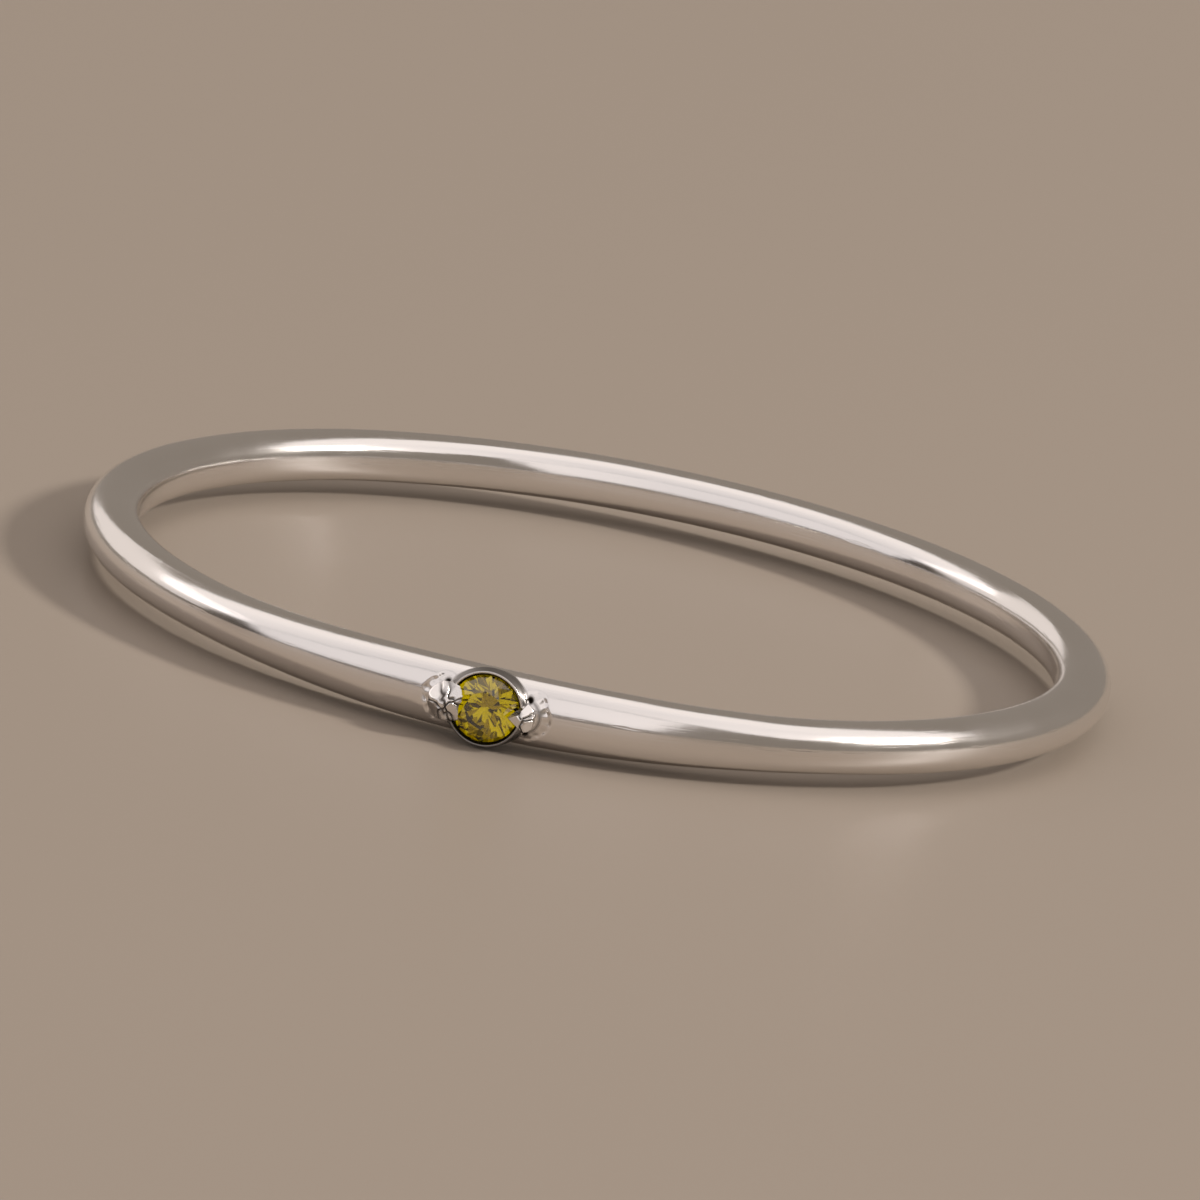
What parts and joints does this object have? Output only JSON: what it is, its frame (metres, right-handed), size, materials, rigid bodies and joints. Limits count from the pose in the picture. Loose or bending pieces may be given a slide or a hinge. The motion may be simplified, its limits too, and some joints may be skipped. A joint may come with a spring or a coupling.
{
  "type": "stackable ring",
  "caption": "Thin polished silver finger ring for stacking, with widened shoulders and a small round olive stone held in a cup between two bead claws.",
  "frame": {"origin": "under the middle of the ring's box, on the surface that the ring lies on", "axes": "+Z along the axis of the finger hole, up; -Y towards the stone"},
  "size_m": [0.0194, 0.0198, 0.0015],
  "materials": {
    "silver": "polished sterling silver, with fine wear marks",
    "olive_stone": "cut and polished yellow-green gemstone"
  },
  "bodies": {
    "root": {"band": "silver", "stone": "olive_stone"}
  },
  "joints": []
}
